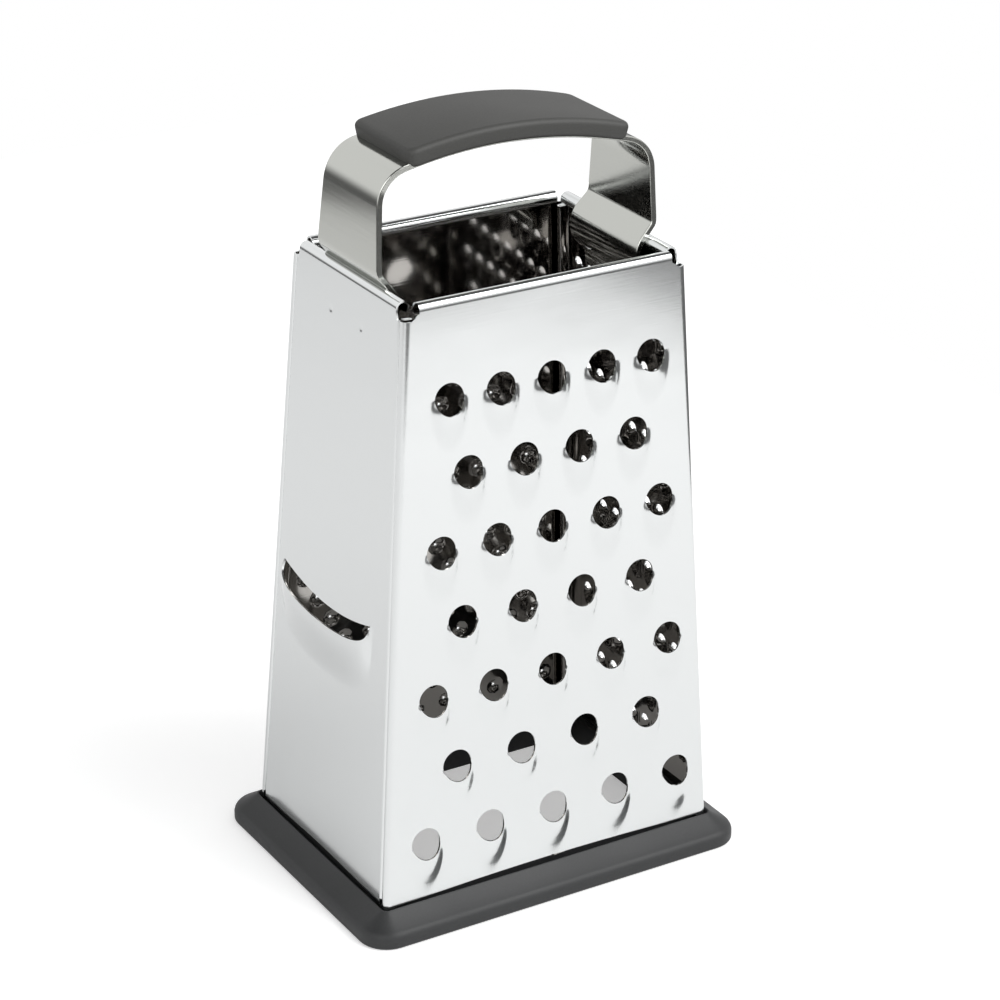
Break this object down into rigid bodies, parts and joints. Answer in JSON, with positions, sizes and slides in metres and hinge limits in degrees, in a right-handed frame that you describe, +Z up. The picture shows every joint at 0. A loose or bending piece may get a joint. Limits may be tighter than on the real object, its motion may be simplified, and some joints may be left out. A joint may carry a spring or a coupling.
{
  "type": "box grater",
  "caption": "Four-sided box grater of folded sheet steel with a bent strap handle, a soft grip and a rubber ring round the base.",
  "frame": {"origin": "on the floor, at the centre of the base ring", "axes": "+Z up from the floor to the handle; the coarse face looks along -Y, the slicing face along -X, the shredding face along +Y and the zesting face along +X; the handle runs along X"},
  "size_m": [0.1272, 0.094, 0.2286],
  "materials": {
    "sheet_steel": "bright rolled stainless sheet",
    "strap_steel": "polished stainless strip",
    "soft_grip": "matte dark grey soft-touch moulding",
    "base_rubber": "matte dark grey moulding"
  },
  "bodies": {
    "root": {"coarse_panel": "sheet_steel", "slicer_panel": "sheet_steel", "shred_panel": "sheet_steel", "zest_panel": "sheet_steel", "handle_strap": "strap_steel", "handle_grip": "soft_grip", "base_bumper": "base_rubber"}
  },
  "joints": []
}
